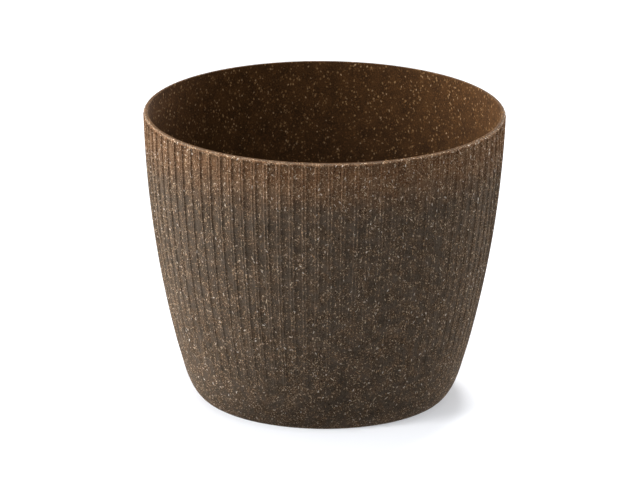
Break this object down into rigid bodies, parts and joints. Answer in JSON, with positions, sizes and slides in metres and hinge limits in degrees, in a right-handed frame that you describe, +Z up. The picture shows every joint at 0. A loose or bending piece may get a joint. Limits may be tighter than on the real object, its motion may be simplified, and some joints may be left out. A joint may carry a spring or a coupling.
{
  "type": "plant pot",
  "caption": "Round tapered plastic plant pot with a finely ribbed wall, thin rounded rim, soft base corner and a soft lift-out stopper in its drain hole.",
  "frame": {"origin": "centre of the base, on the plane that the standing ring rests on", "axes": "+Z up along the axis of the pot; X and Y lie in the ground plane, with a valley between two ribs facing -Y"},
  "size_m": [0.16, 0.1599, 0.13],
  "materials": {
    "wood_fibre_plastic": "moulded, matt, speckled with pale wood fibre",
    "soft_stopper": "moulded, matt"
  },
  "bodies": {
    "pot": {"pot_body": "wood_fibre_plastic"},
    "plug": {"drain_plug": "soft_stopper"}
  },
  "joints": [
    {"name": "plug_lift", "type": "slide", "parent": "pot", "child": "plug", "axis": [0, 0, 1], "range_m": [0, 0.15]}
  ]
}
